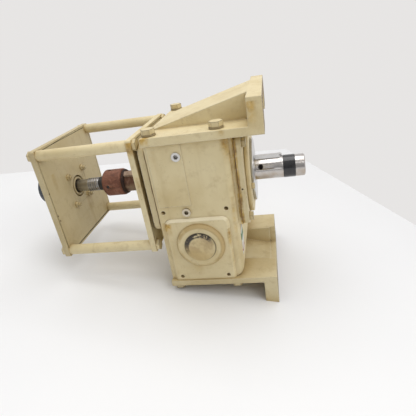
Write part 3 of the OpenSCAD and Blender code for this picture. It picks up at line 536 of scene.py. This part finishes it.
def shaft_with_rusty_end(name):
    """The through shaft: bright and turned at the output, brown with rust on the coupled side."""
    g = Graph(name)
    tool = g.noise(2600, 2, 0.5, stretch=(1, 0.02, 0.02))
    mark = g.noise(60, 6, 0.65, shift=4, warp=0.4)
    bright = g.mix(g.times(g.step(mark, 0.55, 0.72), 0.25), (0.58, 0.555, 0.54), (0.34, 0.25, 0.18))
    rust = g.ramp(g.noise(90, 7, 0.7, warp=0.7),
                  [(0.32, (0.05, 0.022, 0.014)), (0.5, (0.16, 0.075, 0.045)), (0.7, (0.34, 0.22, 0.15))])
    rusty = g.step(g.axis(0), HOUSING_HI[0], HOUSING_LO[0])
    colour = g.mix(rusty, bright, rust)
    # Darker in corners and hollows.
    corner_dark = g.step(g.crevice(0.006), 0.35, 0.95)
    colour = g.mix(g.times(corner_dark, 0.8), colour, (0.03, 0.022, 0.018))
    tea = g.times(g.step(g.axis(2), SHAFT_Z + 0.004, SHAFT_Z - 0.006),
                  g.step(g.noise(50, 5, 0.6, shift=9), 0.30, 0.62))
    colour = g.mix(g.times(tea, 0.55), colour, (0.36, 0.27, 0.17))
    # Painted shade: the inside of the small cross hole is painted near-black.
    hole = g.add("ShaderNodeVectorMath", operation="DISTANCE")
    g.plug(g.coords, hole.inputs[0])
    hole.inputs[1].default_value = SHAFT_HOLE
    colour = g.mix(g.step(hole.outputs["Value"], 0.0062, 0.0050), colour, (0.012, 0.009, 0.008))
    rough = g.plus(0.15, g.plus(g.times(mark, 0.14), g.times(rusty, 0.4)))
    metal = g.math("SUBTRACT", 1.0, g.times(rusty, 0.6))
    pits = g.bump(g.times(g.noise(500, 5, 0.7), rusty), 0.5, 0.0006)
    return g.finish(colour, rough, metal, g.bump(tool, 0.10, 0.0002, after=pits))


MATERIALS["through_shaft"] = shaft_with_rusty_end("through_shaft_steel")
GEARS = cut_gear_steel("gear_cut_steel")
RUBBER = black_rubber("seal_rubber")
RACE = bright_steel("bearing_race", (0.60, 0.60, 0.61), 2400, 0.1, "none", (0.12, 0.24))

ROUNDING = {  # edge radius of each kind of part
    "housing": 0.0030, "top_bracket": 0.0024, "bottom_bracket": 0.0024, "left_cover": 0.0016,
    "right_cover": 0.0016,
    "right_cover_plate": 0.0016, "front_cap": 0.0016, "inner_plate": 0.0012, "outer_plate": 0.0012,
    "coupling_stub_hub": 0.0012, "coupling_shaft_hub": 0.0010, "output_seal_cap": 0.0008, "input_hub": 0.0012,
    "flange_bearing_housing": 0.0015, "cross_carrier": 0.0012, "nameplate": 0.0002, "bracket_bolts": 0.0005,
    "tie_rod_bolts": 0.0008, "output_key": 0.0006, "input_key": 0.0008,
}
SMALL_ROUNDING = 0.0005  # every other node's
WELD_DISTANCE = 0.00001
BEVEL_FROM_ANGLE = math.radians(38)
SHARP = ("gear", "pinion", "ring", "ball", "gasket", "seal")


def dress(node, obj):
    """Gives a CAD node its material, and a small rounding on its edges."""
    if node in MATERIALS:
        mat = MATERIALS[node]
    elif "gear" in node or "pinion" in node:
        mat = GEARS
    elif node.endswith("_seal"):
        mat = RUBBER
    else:
        mat = RACE
    obj.data.materials.clear()
    obj.data.materials.append(mat)
    if any(word in node for word in SHARP) and node not in ROUNDING:
        return
    weld = obj.modifiers.new("weld", "WELD")
    weld.merge_threshold = WELD_DISTANCE
    bevel = obj.modifiers.new("round_edges", "BEVEL")
    bevel.width = ROUNDING.get(node, SMALL_ROUNDING)
    bevel.segments = 3
    bevel.limit_method = "ANGLE"
    bevel.angle_limit = BEVEL_FROM_ANGLE
    bevel.harden_normals = True


for node_name, node_obj in frame["nodes"].items():
    dress(node_name, node_obj)

# ---------------------------------------------------------------- extra pieces


def piece_from_bmesh(name, bm, mat, body):
    mesh = bpy.data.meshes.new(name)
    bmesh.ops.recalc_face_normals(bm, faces=bm.faces)
    bm.to_mesh(mesh)
    bm.free()
    obj = bpy.data.objects.new(name, mesh)
    bpy.context.scene.collection.objects.link(obj)
    mesh.materials.append(mat)
    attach(obj, body)
    return obj


def turned(profile, steps=96):
    """A closed ring of revolution about the through shaft's axis from (x, radius) points."""
    bm = bmesh.new()
    loops = []
    for i in range(steps):
        a = 2 * math.pi * i / steps
        loops.append([bm.verts.new((x, r * math.sin(a), SHAFT_Z + r * math.cos(a))) for x, r in profile])
    for i in range(steps):
        here, there = loops[i], loops[(i + 1) % steps]
        for j in range(len(profile)):
            k = (j + 1) % len(profile)
            bm.faces.new((here[j], here[k], there[k], there[j]))
    return bm


def tape_band():
    """Two laps of vinyl tape wound on the shaft, the outer lap a little off the first."""
    x0, x1 = SHAFT_END_X - 0.0364, SHAFT_END_X - 0.0160
    r = next(m["dims"]["r_mm"] for m in frame["record"]["mounts"] if m["name"] == "output_shaft_end") / 1000
    laps = ((x0, x1, 0.00035), (x0 + 0.0012, x1 - 0.0009, 0.00065))
    profile = [(x0, r + 0.00002), (x0, r + laps[0][2]), (laps[1][0], r + laps[0][2]),
               (laps[1][0], r + laps[1][2]),
               (laps[1][1], r + laps[1][2]), (laps[1][1],
                                              r + laps[0][2]), (x1, r + laps[0][2]), (x1, r + 0.00002)]
    return piece_from_bmesh("shaft_tape", turned(profile), glossy_tape("tape_vinyl"), "through_shaft_body")


tape_band()

# ---------------------------------------------------------------- table, light and camera

# the part leans on its lower bolt heads and the foot of its flange
TILT = math.atan2(BOLTS_LO[2] - LOW_LO[2], -BOLTS_LO[0])
TABLE_TURN = math.radians(26.5)
TABLE_CORNER = (0.055, 0.775)  # far corner of the table in the table's own plane, from the flange foot


def table():
    bm = bmesh.new()
    corner = Vector((*TABLE_CORNER, 0))
    along = Vector((math.cos(TABLE_TURN), math.sin(TABLE_TURN), 0))
    across = Vector((along.y, -along.x, 0))
    spots = [corner, corner - along * 3, corner - along * 3 + across * 3, corner + across * 3]
    bm.faces.new([bm.verts.new(p) for p in spots])
    mesh = bpy.data.meshes.new("table_top")
    bmesh.ops.recalc_face_normals(bm, faces=bm.faces)
    bm.to_mesh(mesh)
    bm.free()
    obj = bpy.data.objects.new("table_top", mesh)
    obj.matrix_world = Matrix.Translation((0, 0, LOW_LO[2])) @ Matrix.Rotation(TILT, 4, "Y")
    mesh.materials.append(table_top("table_pale"))
    bpy.context.scene.collection.objects.link(obj)
    return obj


def area_light(name, place, target, size, power, colour=(1, 1, 1)):
    data = bpy.data.lights.new(name, "AREA")
    data.shape = "RECTANGLE"
    data.size, data.size_y = size
    data.energy = power
    data.color = colour
    obj = bpy.data.objects.new(name, data)
    turn = (Vector(target) - Vector(place)).to_track_quat("-Z", "Y")
    obj.matrix_world = Matrix.Translation(place) @ turn.to_matrix().to_4x4()
    bpy.context.scene.collection.objects.link(obj)


CEILING_LIGHT = ((-0.15, 0.15, 1.7), (1.6, 1.4), 16, (1, 0.99, 0.975))  # place, size, watts, colour
RIGHT_LIGHT = ((1.15, -0.95, 1.10), (1.2, 1.0), 9, (1, 0.985, 0.96))
FRONT_LIGHT = ((-0.5, -1.5, 1.3), (1.3, 1.1), 1.5, (1, 0.985, 0.96))
LIT_MIDDLE = (-0.15, 0, 0)
BRIGHT_SIDE = (0.10, 0.99, 0.0)  # the wall behind the part is the brightest
ROOM_DIM = (0.34, 0.335, 0.33, 1)
ROOM_BRIGHT = (0.80, 0.785, 0.775, 1)


def studio():
    """A pale room: soft light from the ceiling and the output side, dimmer behind the viewer."""
    world = bpy.data.worlds.new("studio")
    bpy.context.scene.world = world
    world.use_nodes = True
    tree = world.node_tree
    sky = tree.nodes["Background"]
    facing = tree.nodes.new("ShaderNodeTexCoord")
    toward = tree.nodes.new("ShaderNodeVectorMath")
    toward.operation = "DOT_PRODUCT"
    toward.inputs[1].default_value = BRIGHT_SIDE
    tree.links.new(facing.outputs["Generated"], toward.inputs[0])
    side = tree.nodes.new("ShaderNodeMapRange")
    side.interpolation_type = "SMOOTHSTEP"
    side.inputs["From Min"].default_value = -0.8
    side.inputs["From Max"].default_value = 0.45
    tree.links.new(toward.outputs["Value"], side.inputs["Value"])
    band = tree.nodes.new("ShaderNodeValToRGB")
    band.color_ramp.elements[0].color = ROOM_DIM
    band.color_ramp.elements[1].color = ROOM_BRIGHT
    tree.links.new(side.outputs["Result"], band.inputs["Fac"])
    tree.links.new(band.outputs["Color"], sky.inputs["Color"])
    sky.inputs["Strength"].default_value = 1.0
    for name, light in (("key_top", CEILING_LIGHT), ("fill_right", RIGHT_LIGHT), ("fill_front", FRONT_LIGHT)):
        place, size, power, colour = light
        area_light(name, place, LIT_MIDDLE, size, power, colour)
    bpy.context.scene.view_settings.view_transform = "Standard"


CAMERA_PLACE = (0.0104, -0.6124, 0.2517)
CAMERA_AIM = (-0.1887, 0.8871, -0.4212)
CAMERA_UP = (0.0755, 0.4408, 0.8944)
CAMERA_LENS = 31.63  # mm on a 36 mm sensor


def camera():
    place = Vector(CAMERA_PLACE)
    forward = Vector(CAMERA_AIM).normalized()
    up = Vector(CAMERA_UP)
    right = forward.cross(up).normalized()
    up = right.cross(forward)
    data = bpy.data.cameras.new("photo_camera")
    data.sensor_width = 36
    data.lens = CAMERA_LENS
    data.clip_start = 0.01
    obj = bpy.data.objects.new("photo_camera", data)
    turn = Matrix((right, up, -forward)).transposed().to_4x4()
    obj.matrix_world = Matrix.Translation(place) @ turn
    bpy.context.scene.collection.objects.link(obj)
    bpy.context.scene.camera = obj


table()
studio()
camera()
